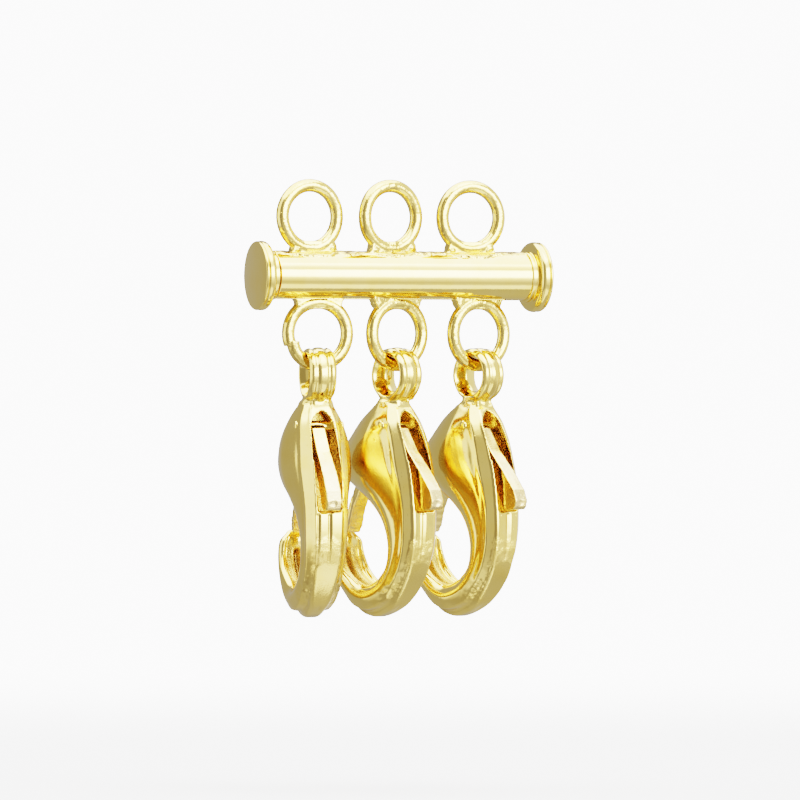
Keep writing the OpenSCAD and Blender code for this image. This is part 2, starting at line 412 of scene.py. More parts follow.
class Shader:
    """Node tree of a material or of the world."""

    def __init__(self, owner: bpy.types.Material | bpy.types.World) -> None:
        """Empties the owner's node tree.

        Args:
            owner: Material or world to build.
        """
        owner.use_nodes = True
        self.tree = owner.node_tree
        self.tree.nodes.clear()

    def node(self, kind: str, settings: dict, inputs: dict, output: int | str = 0) -> Val:
        """Adds a node.

        Args:
            kind: Blender's type of node.
            settings: Properties of the node, or "stops" with a ramp's positions and colours.
            inputs: Value, colour or link of each input, by name or number.
            output: Name or number of the wanted output.

        Returns:
            The wanted output.
        """
        node = self.tree.nodes.new(kind)
        for key, value in settings.items():
            if key == "stops":
                ramp = node.color_ramp.elements
                while len(ramp) < len(value):
                    ramp.new(1.0)
                for element, (place, colour) in zip(ramp, value):
                    element.position = place
                    element.color = (*colour, 1.0)
            else:
                setattr(node, key, value)
        for key, value in inputs.items():
            if isinstance(value, Val):
                self.tree.links.new(value.socket, node.inputs[key])
            else:
                node.inputs[key].default_value = value
        return Val(self, node, output)

    def place(self) -> Val:
        """Place on the object in millimetres."""
        inputs = {0: self.node("ShaderNodeTexCoord", {}, {}, "Object"), "Scale": 1 / MM}
        return self.node("ShaderNodeVectorMath", {"operation": "SCALE"}, inputs, "Vector")

    def stretched(self, place: Val, scale: Sequence[float]) -> Val:
        """Place scaled by its own factor on each axis."""
        settings = {"operation": "MULTIPLY"}
        return self.node("ShaderNodeVectorMath", settings, {0: place, 1: tuple(scale)}, "Vector")

    def noise(self, place: Val, scale: float, detail: float = 2.0) -> Val:
        """Cloud noise from 0 to 1, with its cells counted for each millimetre."""
        return self.node("ShaderNodeTexNoise", {}, {"Vector": place, "Scale": scale, "Detail": detail}, "Fac")

    def mixed(self, factor: Val, low: "Val | Sequence[float]", high: "Val | Sequence[float]") -> Val:
        """Colour between two others."""
        low, high = (c if isinstance(c, Val) else (*c, 1.0) for c in (low, high))
        return self.node("ShaderNodeMix", {"data_type": "RGBA"}, {0: factor, 6: low, 7: high}, 2)

    def mark(self, name: str) -> Val:
        """Mark painted on the points of a piece, 0 where the piece has none."""
        return self.node("ShaderNodeAttribute", {"attribute_name": name}, {}, "Fac")

    def toward(self, way: Val, direction: Sequence[float]) -> Val:
        """Part of a direction that points along another."""
        settings = {"operation": "DOT_PRODUCT"}
        return self.node("ShaderNodeVectorMath", settings, {0: way, 1: tuple(direction)}, "Value")

    def surface(self, shader: Val, kind: str = "ShaderNodeOutputMaterial") -> None:
        """Links a shader to the output."""
        self.node(kind, {}, {"Surface": shader})


@dataclass(frozen=True)
class GoldFinish:
    """Plated metal with wavering polish, fine wear lines and small pits.

    The marks "matte", "dark" and "plated" on a piece dull it, darken it and give it the
    warmer, smoother plating where they are painted. On some pieces the darkening is painted
    shade and the warmth is painted reflection of the gold round them.
    """

    name: str
    colour: Triple
    warm: Triple
    rough: float
    rough_wear: float
    wave: float
    wave_cells: float
    pits: float
    grain: float = 0.0
    grain_cells: Triple = (1.0, 1.0, 1.0)
    # Colour that the dark mark mixes towards: real tarnish, and painted shade where the mark stands for
    # shade.
    tarnish_and_shade: Triple = (0.42, 0.27, 0.09)
    cloud_cells: float = 0.9
    wear_cells: float = 14.0
    pit_cells: float = 3.2
    pit_edge: Pair = (0.04, 0.16)
    speck_cells: float = 11.0
    speck: float = 0.03
    matte_rough: float = 0.24
    plated_smooth: float = 0.14

    def height(self, shader: Shader, place: Val, matte: Val) -> Val:
        """Relief of the skin.

        Args:
            shader: Shader to build it in.
            place: Place on the object.
            matte: How matt the place is.

        Returns:
            Its height in millimetres.
        """
        cell = shader.node("ShaderNodeTexVoronoi", {"feature": "F1"},
                           {"Vector": place, "Scale": self.pit_cells}, "Distance")
        wave = shader.noise(place, self.wave_cells)
        line = shader.noise(shader.stretched(place, self.grain_cells), 1.0)
        speck = shader.noise(place, self.speck_cells)
        skin = wave * self.wave + cell.step(*self.pit_edge) * self.pits
        return skin + line * self.grain + speck * matte * self.speck

    def material(self) -> bpy.types.Material:
        """Builds the finish's material.

        Returns:
            The material.
        """
        material = bpy.data.materials.new(self.name)
        shader = Shader(material)
        place = shader.place()
        matte, dark, plated = (shader.mark(name) for name in ("matte", "dark", "plated"))
        relief = {"Height": self.height(shader, place, matte), "Distance": MM, "Strength": 1.0}
        rough = shader.noise(place, self.wear_cells, 3.0).step(0.45, 0.75, self.rough, self.rough_wear)
        # Base colour is darkened by the dark mark and warmed by the plating mark; on some pieces these paint
        # shade and the reflection of nearby gold.
        warmth = shader.noise(place, self.cloud_cells, 3.0).step(0.35, 0.7, 0.0, 0.5) + plated * 0.5
        metal = shader.node("ShaderNodeBsdfPrincipled", {}, {
            "Base Color": shader.mixed(dark, shader.mixed(warmth, self.colour, self.warm), self.tarnish_and_shade),
            "Metallic": 1.0,
            "Roughness": rough + matte * self.matte_rough - plated * self.plated_smooth,
            "Normal": shader.node("ShaderNodeBump", {}, relief, "Normal"),
        }, "BSDF")
        shader.surface(metal)
        return material


POLISHED = GoldFinish(
    "polished_gold", (0.95, 0.70, 0.25), (0.95, 0.66, 0.18), rough=0.07, rough_wear=0.12,
    wave=0.006, wave_cells=1.1, pits=0.0, grain=0.0006, grain_cells=(0.4, 30.0, 30.0),
)
SOLDER = GoldFinish(
    "solder_gold", (0.95, 0.69, 0.23), (0.93, 0.62, 0.15), rough=0.11, rough_wear=0.20,
    wave=0.035, wave_cells=2.6, pits=0.008,
)
CAST = GoldFinish(
    "cast_gold", (0.95, 0.69, 0.235), (0.94, 0.64, 0.17), rough=0.10, rough_wear=0.16,
    wave=0.012, wave_cells=0.9, pits=0.003,
)
BRUSHED = GoldFinish(
    "brushed_gold", (0.93, 0.72, 0.35), (0.93, 0.62, 0.17), rough=0.25, rough_wear=0.35,
    wave=0.006, wave_cells=2.0, pits=0.006, grain=0.01, grain_cells=(6.0, 6.0, 26.0),
)


class Workshop:
    """Makes pieces ride on their bodies and gives them their finish."""

    def __init__(self) -> None:
        """Starts with no material made."""
        self.materials: dict[str, bpy.types.Material] = {}

    def dress(self, obj: bpy.types.Object, body: str, slot: Slot, finish: GoldFinish, *nodes: str) -> None:
        """Sets a piece into the frame.

        Args:
            obj: The piece.
            body: Body that it rides on.
            slot: Slot of the record meant for its finish; not used.
            finish: Its finish.
            nodes: CAD nodes that it stands for.
        """
        if finish.name not in self.materials:
            self.materials[finish.name] = finish.material()
        obj.data.materials.append(self.materials[finish.name])
        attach(obj, body)
        if nodes:
            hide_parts(*nodes)
        log.info("%s: %d faces on %s", obj.name, len(obj.data.polygons), body)


@dataclass
class Bar:
    """Places of the slide tube bar, read from the frame."""

    centre: Vector
    tube_r: float
    tube_end: float
    right_face: float

    @classmethod
    def from_frame(cls) -> "Bar":
        """Works the places out from the boxes of the tube and its right cap.

        Returns:
            The places in millimetres.
        """
        low, high = (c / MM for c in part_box("outer_tube"))
        cap_low, cap_high = (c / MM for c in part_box("right_cap"))
        middle = Vector(((low.x + high.x) / 2, 0, (cap_low.z + cap_high.z) / 2))
        return cls(middle, (high.y - low.y) / 2, (high.x - low.x) / 2, cap_high.x)


@dataclass
class RingRow:
    """Row of wire rings soldered to a tube of the bar."""

    bar: Bar
    ring_r: float = 1.846
    wire_r: float = 0.385
    wire_sides: int = 36
    wobble: float = 0.02
    wobble_cells: float = 1.6
    kink_fade: float = 22.0
    kink_ahead: float = 0.4
    voxel: float = 0.052
    lumps: int = 7
    lump_share: float = 0.8
    lump_depth: Pair = (-0.2, 0.15)
    lump_rise: float = 0.2
    lump_radii: Pair = (0.14, 0.24)
    patch_cells: float = 1.7
    patch_gain: float = 1.2
    solder_matte: float = 0.12
    solder_dark: float = 0.3
    worn_dark: float = 0.4

    def wire(self, start: float, end: float, rings: int, noise: Noise, kink: float = 0.0) -> Surface:
        """Round wire of a ring, centred on the ring.

        Args:
            start: Angle in degrees at which it starts.
            end: Angle at which it ends.
            rings: Number of rings of points along it.
            noise: Noise of its hand bent shape.
            kink: Inward step of the end that the wire starts from, 0 for none.

        Returns:
            Its surface.
        """
        angles = np.linspace(start, end, rings)
        t = np.radians(angles)
        circle = np.stack([np.cos(t), 0 * t, np.sin(t)], axis=1)
        bent = kink * np.exp((start - angles) / self.kink_fade)
        r = self.ring_r + self.wobble * noise.at(circle[:, (0, 2, 1)], self.wobble_cells) - bent
        path = circle * r[:, None]
        path[:, 1] -= self.kink_ahead * bent
        return Surface.tube(path, self.wire_r, Vector((0, 1, 0)), self.wire_sides)

    def lumped(self, solder: Surface, rng: np.random.Generator, reach: Pair, base: float) -> Surface:
        """Adds small lumps at random places of a ring's solder.

        Args:
            solder: The solder.
            rng: Random numbers of the ring.
            reach: Reach of the solder to the left and to the right.
            base: Height of the tube's skin.

        Returns:
            The solder with its lumps.
        """
        for _ in range(self.lumps):
            x = rng.uniform(-reach[0], reach[1]) * self.lump_share
            y = rng.uniform(*self.lump_depth)
            z = base + self.lump_rise * rng.uniform()
            solder += Surface.blob((x, y, z), rng.uniform(*self.lump_radii, 3))
        return solder

    def soldered(self, made: Surface, noise: Noise, foot: np.ndarray,
                 worn: np.ndarray | float = 0.0) -> Surface:
        """Paints the marks of solder and wear on a ring.

        Args:
            made: The ring.
            noise: Its noise.
            foot: How near each point is to the solder.
            worn: How worn each point is.

        Returns:
            The same surface, with its marks.
        """
        patch = ease(0.5 + self.patch_gain * noise.at(made.points, self.patch_cells))
        made.marks = {
            "matte": self.solder_matte * foot,
            "dark": self.solder_dark * foot * patch + self.worn_dark * worn,
            "plated": np.clip(foot * patch + worn, 0, 1),
        }
        return made


@dataclass
class OuterTube(RingRow):
    """Slotted outer tube, its solder seam and its row of upper rings.

    The seam's reach is in degrees from the top of the tube, with its swelling near a ring, its
    ragged part and the width of its edge. The rounded edge has rows of the distance from the
    tube's end and the drop from its skin.
    """

    wall: float = 0.3
    slot_half: float = 0.475
    slot_end: float = 6.85
    slot_past: float = 1.0
    slot_depth: float = 2.0
    step: float = 0.06
    around: int = 176
    edge: Outline = ((0.0, 0.045), (0.015, 0.012), (0.045, 0.0))
    seam_height: float = 0.085
    seam_reach: float = 25.0
    seam_swell: float = 12.0
    seam_ragged: float = 7.0
    seam_edge: float = 4.0
    seam_span: float = 1.5
    seam_cells: float = 2.2
    fray_cells: Triple = (6.0, 4.0, 4.0)
    seam_lump_cells: Triple = (3.0, 5.0, 5.0)
    seam_matte: float = 0.6
    seam_dark: float = 0.3
    seam_edge_shade: float = 1.4
    seam_most_dark: float = 0.6
    turns: Triple = (6.0, 10.0, 0.0)
    seeds: tuple[int, int, int] = (21, 22, 23)
    feet: Outline = ((1.25, 1.7), (1.5, 1.66), (1.58, 1.42))
    flank: Outline = ((0.34, -0.06), (0.14, 0.02), (0.03, 0.12), (0.0, 0.28), (-0.05, 0.5), (-0.2, 0.66))
    foot_half: float = 0.33
    foot_depth: float = 0.22
    joint: float = -92.0
    lap: float = 4.0
    rings: int = 180
    rounds: int = 8
    solder_top: float = 1.0
    solder_fade: float = -0.6
    right_lump: tuple[Triple, Triple] = ((-0.3, -0.06, 0.3), (0.34, 0.36, 0.3))
    left_lump: tuple[Triple, Triple] = ((0.25, -0.04, 0.16), (0.34, 0.36, 0.2))
    relief: float = 0.012
    relief_cells: float = 2.4
    noise: Noise = field(default_factory=lambda: Noise(11))

    def ring_places(self) -> list[float]:
        """Places of the ring centres along X, from the record's mounts."""
        mounts = {m["name"]: m["pos_m"] for m in frame["record"]["mounts"]}
        return [mounts[n][0] / MM for n in ("upper_ring_left", "hanging_ring", "upper_ring_right")]

    def seam(self, x: np.ndarray, angle: np.ndarray) -> np.ndarray:
        """Height of the solder that ran along the top of the tube.

        Args:
            x: Places along X.
            angle: Angles from the front of the tube, 90 degrees being the top.

        Returns:
            Height over the tube at each place.
        """
        near = sum(hump(x, c, self.seam_span, 4) for c in self.ring_places())
        place = np.stack([x, np.sin(angle) * self.seam_span, np.cos(angle) * self.seam_span], axis=1)
        ragged = self.noise.at(place, self.seam_cells) + 0.5 * self.noise.at(place + 7, self.fray_cells)
        reach = self.seam_reach + self.seam_swell * near + self.seam_ragged * ragged
        from_top = np.abs(np.degrees(angle) - 90)
        lumps = 1 + 0.5 * self.noise.at(place, self.seam_lump_cells)
        return self.seam_height * rise(from_top, reach, -self.seam_edge) * lumps

    def wall_with_slot(self) -> Surface:
        """Plain wall of the tube, cut open by the slot.

        Returns:
            Its surface.
        """
        end, radius = self.bar.tube_end, self.bar.tube_r
        xs = np.arange(-end, end + self.step / 2, self.step)
        back, drop = np.array(self.edge).T
        xs = np.concatenate([xs[0] + back, xs[1:]])
        outer = np.full(len(xs), radius)
        outer[:len(drop)] -= drop
        inner = [[xs[-1], radius - self.wall], [xs[0], radius - self.wall]]
        tube = Surface.lathe(np.concatenate([np.stack([xs, outer], axis=1), inner]), self.around)
        half, low = self.slot_half, -self.slot_depth
        slot = Surface.plate(np.array([[-half, low], [half, low], [half, 0.0], [-half, 0.0]]),
                             (end + self.slot_past + self.slot_end) / 2)
        slot.points += np.array(self.bar.centre) + ((self.slot_end - end - self.slot_past) / 2, 0, 0)
        tube.points += np.array(self.bar.centre)
        return tube.cut(slot)

    def shell(self) -> Surface:
        """Tube with the seam raised on its skin.

        Returns:
            Its surface, darker and duller on the seam and darkest along the seam's edge; the darkness is
            painted shade.
        """
        tube = self.wall_with_slot()
        rel = tube.points - np.array(self.bar.centre)
        radius = np.hypot(rel[:, 1], rel[:, 2])
        angle = np.arctan2(rel[:, 2], -rel[:, 1])
        on_skin = radius > self.bar.tube_r - self.wall / 3
        height = np.where(on_skin, self.seam(tube.points[:, 0], angle), 0)
        rel[:, 1:] *= (1 + height / radius)[:, None]
        tube.points = rel + np.array(self.bar.centre)
        lift = height / self.seam_height
        # Painted shade: the seam is darkened, most along its edge where it meets the tube.
        dark = self.seam_dark * lift + self.seam_edge_shade * lift * (1.1 - lift)
        matte = self.seam_matte * lift
        tube.marks = {"dark": np.clip(dark, 0, self.seam_most_dark), "matte": np.clip(matte, 0, 1)}
        return tube

    def foot(self, left: float, right: float) -> Surface:
        """Block of solder under a ring, with hollow flanks that run out on the tube.

        Args:
            left: Reach of its left flank from the ring's centre.
            right: Reach of its right flank.

        Returns:
            The block, centred on the ring.
        """
        top = self.bar.centre.z + self.bar.tube_r
        out = np.array(self.flank) + (right, top)
        back = out[::-1] * (-1, 1) + (right - left, 0)
        floor = np.array([(-left, top - self.foot_depth), (right, top - self.foot_depth)])
        return Surface.plate(np.concatenate([floor, out, back]), self.foot_half, axis=1)

    def ring(self, x: float, turn: float, seed: int, reach: Pair) -> Surface:
        """Upper ring with its solder, fused.

        Args:
            x: Place of its centre along X.
            turn: Turn about Z in degrees.
            seed: Seed of its hand bent shape.
            reach: Reach of its foot to the left and to the right.

        Returns:
            Its surface.
        """
        noise = Noise(seed)
        top = self.bar.centre.z + self.bar.tube_r
        left, right = reach
        solder = self.foot(left, right)
        for side, ((x_lump, y_lump, rise_lump), radii) in ((right, self.right_lump), (-left, self.left_lump)):
            solder += Surface.blob((x_lump + side, y_lump, top + rise_lump), radii)
        solder = self.lumped(solder, np.random.default_rng(seed), reach, top)
        wire = self.wire(self.joint, self.joint + 360 + self.lap, self.rings, noise)
        made = (wire + solder).fused(self.voxel, self.rounds)
        low = rise(made.points[:, 2], top + self.solder_top, self.solder_fade)
        made = made.raised(self.relief * noise.at(made.points, self.relief_cells) * low)
        return self.soldered(made, noise, low).moved(placing((x, 0, 0), turn))

    def build(self, shop: Workshop) -> None:
        """Builds the tube and its rings on the tube's body.

        Args:
            shop: Where pieces are dressed.
        """
        shop.dress(self.shell().piece("tube_shell", 35), "tube", Slot.POLISHED, POLISHED, "outer_tube")
        for side, *facts in zip(SIDES, self.ring_places(), self.turns, self.seeds, self.feet):
            ring = self.ring(*facts).piece(f"upper_ring_{side}")
            shop.dress(ring, "tube", Slot.POLISHED, SOLDER)


@dataclass
class EndCaps:
    """Turned caps at both ends of the bar.

    The profile has rows of the place from the outer face, as a share of the length, and the
    radius, as a share of the cap's. It has a flat face, a fine groove, a broad band and a collar.
    """

    bar: Bar
    left_radius: float = 2.05
    right_radius: float = 2.09
    length: float = 1.08
    left_gap: float = 0.04
    tilt: float = -4.0
    rows: int = 96
    around: int = 128
    profile: Outline = (
        (0.0, 0.0), (0.0, 0.955), (0.015, 0.975), (0.06, 0.99), (0.11, 0.995), (0.15, 0.985), (0.175, 0.968),
        (0.2, 0.98), (0.26, 0.998), (0.34, 1.0), (0.42, 0.998), (0.5, 0.985), (0.57, 0.96), (0.63, 0.92),
        (0.67, 0.875), (0.69, 0.82), (0.7, 0.76), (0.73, 0.73), (0.8, 0.725), (0.9, 0.725), (0.97, 0.72),
        (1.0, 0.7), (1.0, 0.0),
    )

    def flange(self, length: float, radius: float) -> Surface:
        """Cap with its outer face at x = 0.

        Args:
            length: Its length.
            radius: Its greatest radius.

        Returns:
            Its surface.
        """
        points = np.array([(x * length, max(r * radius, 0.01)) for x, r in self.profile])
        fine = smooth_rows(points[1:-1], self.rows)
        return Surface.lathe(np.concatenate([points[:1], fine, points[-1:]]), self.around)

    def build(self, shop: Workshop) -> None:
        """Builds both caps on their bodies.

        Args:
            shop: Where pieces are dressed.
        """
        centre = self.bar.centre
        left_x = centre.x - self.bar.tube_end - self.length
        ends = (
            ("right", "tube", self.length, self.right_radius, self.bar.right_face, 180.0),
            ("left", "slider", self.length - self.left_gap, self.left_radius, left_x, self.tilt),
        )
        for side, body, length, radius, x, turn in ends:
            cap = self.flange(length, radius).moved(placing((x, 0, centre.z), turn)).piece(f"cap_{side}", 40)
            shop.dress(cap, body, Slot.POLISHED, POLISHED, f"{side}_cap")


@dataclass
class Slider(RingRow):
    """Inner tube with the row of lower rings that hang through the slot."""

    radius: float = 1.05
    wall: float = 0.35
    chamfer: float = 0.03
    left_past: float = 0.04
    right_back: float = 1.7
    neck_half: float = 0.31
    ridge_r: float = 1.385
    ridge_half: float = 15.0
    ridge_end: float = 6.75
    ridge_start: float = 0.05
    ridge_sink: float = 0.05
    ridge_top: float = 0.34
    turns: Triple = (-4.0, 13.0, 11.0)
    seeds: tuple[int, int, int] = (31, 32, 33)
    kinks: Triple = (0.22, 0.0, 0.0)
    necks: Outline = ((1.42, 1.46), (1.78, 1.58), (1.72, 1.5))
    flank: Outline = ((0.12, 0.05), (0.1, -0.03), (0.02, -0.12), (0.0, -0.26), (-0.1, -0.42), (-0.35, -0.55))
    joint: float = 88.0
    lap: float = 4.0
    rings: int = 190
    cut: float = 200.0
    cut_rings: tuple[int, int] = (70, 150)
    rounds: int = 3
    lumps: int = 5
    lump_depth: Pair = (-0.1, 0.05)
    lump_rise: float = -0.3
    lump_radii: Pair = (0.12, 0.24)
    relief: float = 0.01
    relief_cells: float = 4.0
    solder_low: float = 0.75
    solder_fade: float = 0.4
    worn_from: float = -1.15
    worn_fade: float = -0.5

    def neck(self, left: float, right: float, drop: float) -> Surface:
        """Solder from the inner tube through the slot down to a ring.

        Args:
            left: Reach of its left flank from the ring's centre.
            right: Reach of its right flank.
            drop: Height of the ring's centre.

        Returns:
            The block, centred on the ring.
        """
        base = self.bar.centre.z - self.bar.tube_r - drop
        down = np.array(self.flank) + (right, base)
        up = (np.array(self.flank) * (-1, 1) + (-left, base))[::-1]
        roof = self.bar.centre.z - self.radius + 0.1 - drop
        head = np.array([(-left - 0.1, roof), (right + 0.1, roof)])
        return Surface.plate(np.concatenate([head, down, up]), self.neck_half, axis=1)

    def ring(self, centre: Vector, turn: float, seed: int, reach: Pair,
             kink: float) -> Surface:
        """Lower ring with its solder, fused.

        Args:
            centre: Centre of the ring.
            turn: Turn about Z in degrees.
            seed: Seed of its hand bent shape.
            reach: Reach of its neck to the left and to the right.
            kink: Step between the cut wire ends at the lower left, 0 for none.

        Returns:
            Its surface.
        """
        noise = Noise(seed)
        base = self.bar.centre.z - self.bar.tube_r - centre.z
        end = self.joint + 360 + self.lap
        if kink:
            first, second = self.cut_rings
            wire = self.wire(self.joint, self.cut, first, noise)
            wire += self.wire(self.cut - self.lap, end, second, noise, kink)
        else:
            wire = self.wire(self.joint, end, self.rings, noise)
        solder = self.lumped(self.neck(*reach, centre.z), np.random.default_rng(seed), reach, base)
        made = (wire + solder).fused(self.voxel, self.rounds)
        high = rise(made.points[:, 2], base - self.solder_low, self.solder_fade)
        made = made.raised(self.relief * noise.at(made.points, self.relief_cells) * (0.3 + 0.7 * high))
        worn = rise(made.points[:, 2], self.worn_from, self.worn_fade)
        return self.soldered(made, noise, high, worn).moved(placing(centre, turn))

    def ridge(self) -> Surface:
        """Solder that fills the slot of the outer tube, flush with its skin.

        Returns:
            Its surface.
        """
        a = np.radians(np.linspace(-self.ridge_half, self.ridge_half, 9))
        low = np.stack([self.ridge_r * np.sin(a), -self.ridge_r * np.cos(a)], axis=1)
        roof = self.ridge_sink - self.radius
        x0 = self.bar.centre.x - self.bar.tube_end + self.ridge_start
        x1 = self.bar.centre.x + self.ridge_end
        top = [(self.ridge_top, roof), (-self.ridge_top, roof)]
        bar = Surface.plate(np.concatenate([low, top]), (x1 - x0) / 2)
        bar.points += ((x0 + x1) / 2, 0, self.bar.centre.z)
        return bar

    def tube(self) -> Surface:
        """Inner tube, with its outer edges chamfered.

        Returns:
            Its surface.
        """
        x0 = self.bar.centre.x - self.bar.tube_end - self.left_past
        x1 = self.bar.right_face - self.right_back
        outer, inner, cut = self.radius, self.radius - self.wall, self.chamfer
        profile = np.array([(x0, outer - cut), (x0 + cut, outer), (x1 - cut, outer), (x1, outer - cut),
                            (x1, inner), (x0, inner)])
        return Surface.lathe(profile, 96).moved(Matrix.Translation((0, 0, self.bar.centre.z)))

    def build(self, shop: Workshop, pivots: Sequence[Vector]) -> None:
        """Builds the slider on its body.

        Args:
            shop: Where pieces are dressed.
            pivots: Middle of the wire that each claw hangs on, from left to right.
        """
        shop.dress(self.tube().piece("slider_tube", 35), "slider", Slot.POLISHED, POLISHED, "slider")
        shop.dress(self.ridge().piece("slot_solder", 35), "slider", Slot.POLISHED, POLISHED)
        for side, pivot, *facts in zip(SIDES, pivots, self.turns, self.seeds, self.necks, self.kinks):
            ring = self.ring(pivot + Vector((0, 0, self.ring_r)), *facts)
            shop.dress(ring.piece(f"lower_ring_{side}"), "slider", Slot.POLISHED, SOLDER)


class Col(IntEnum):
    """Columns of a row of the claw's profile."""

    OUTER_U = 0
    OUTER_W = 1
    INNER_U = 2
    INNER_W = 3
    FACE = 4
    BELLY = 5
    EDGE = 6
    RAIL = 7
    RISE = 8
    CROWN = 9
    DIP = 10
    SCOOP = 11
    ROUND = 12


